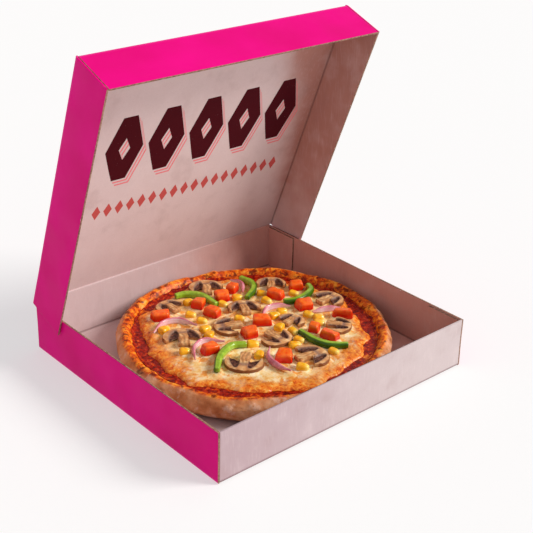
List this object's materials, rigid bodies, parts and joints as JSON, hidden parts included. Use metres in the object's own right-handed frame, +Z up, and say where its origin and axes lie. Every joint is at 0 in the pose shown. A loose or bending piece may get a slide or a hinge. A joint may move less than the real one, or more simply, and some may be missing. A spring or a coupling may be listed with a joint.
{
  "type": "boxed vegetable pizza",
  "caption": "Round thick-rimmed vegetable pizza lying in a square folded cardboard box, whose lid leans open on its rear fold and closes over the tray.",
  "frame": {"origin": "under the middle of the whole object's box, on the surface it stands on", "axes": "+X to the right along the front wall, +Y from the front wall to the lid's fold, +Z up"},
  "size_m": [0.2848, 0.2646, 0.2953],
  "materials": {
    "board": "matt uncoated inside, pink printed left, back and right sides",
    "print": "satin pink print outside, uncoated inside",
    "crust": "baked dough",
    "sauce": "glossy tomato sauce",
    "cheese": "melted, softly glossy",
    "mushroom": "baked slice",
    "red_pepper": "wet cut surface",
    "green_pepper": "glossy skin",
    "onion": "glossy sliver"
  },
  "bodies": {
    "box": {"tray": "board", "crust": "crust", "sauce": "sauce", "cheese": "cheese", "mushroom_01": "mushroom", "mushroom_02": "mushroom", "mushroom_03": "mushroom", "mushroom_04": "mushroom", "mushroom_05": "mushroom", "mushroom_06": "mushroom", "mushroom_07": "mushroom", "mushroom_08": "mushroom", "mushroom_09": "mushroom", "mushroom_10": "mushroom", "mushroom_11": "mushroom", "mushroom_12": "mushroom", "red_pepper_01": "red_pepper", "red_pepper_02": "red_pepper", "red_pepper_03": "red_pepper", "red_pepper_04": "red_pepper", "red_pepper_05": "red_pepper", "red_pepper_06": "red_pepper", "red_pepper_07": "red_pepper", "red_pepper_08": "red_pepper", "red_pepper_09": "red_pepper", "red_pepper_10": "red_pepper", "red_pepper_11": "red_pepper", "red_pepper_12": "red_pepper", "red_pepper_13": "red_pepper", "red_pepper_14": "red_pepper", "red_pepper_15": "red_pepper", "green_pepper_1": "green_pepper", "green_pepper_2": "green_pepper", "green_pepper_3": "green_pepper", "green_pepper_4": "green_pepper", "green_pepper_5": "green_pepper", "onion_1": "onion", "onion_2": "onion", "onion_3": "onion", "onion_4": "onion", "onion_5": "onion", "onion_6": "onion"},
    "lid": {"lid": "print"}
  },
  "joints": [
    {"name": "lid_hinge", "type": "hinge", "parent": "box", "child": "lid", "pos_m": [0, 0.13061, 0.047], "axis": [-1, 0, 0], "range_deg": [-69, 106]}
  ]
}
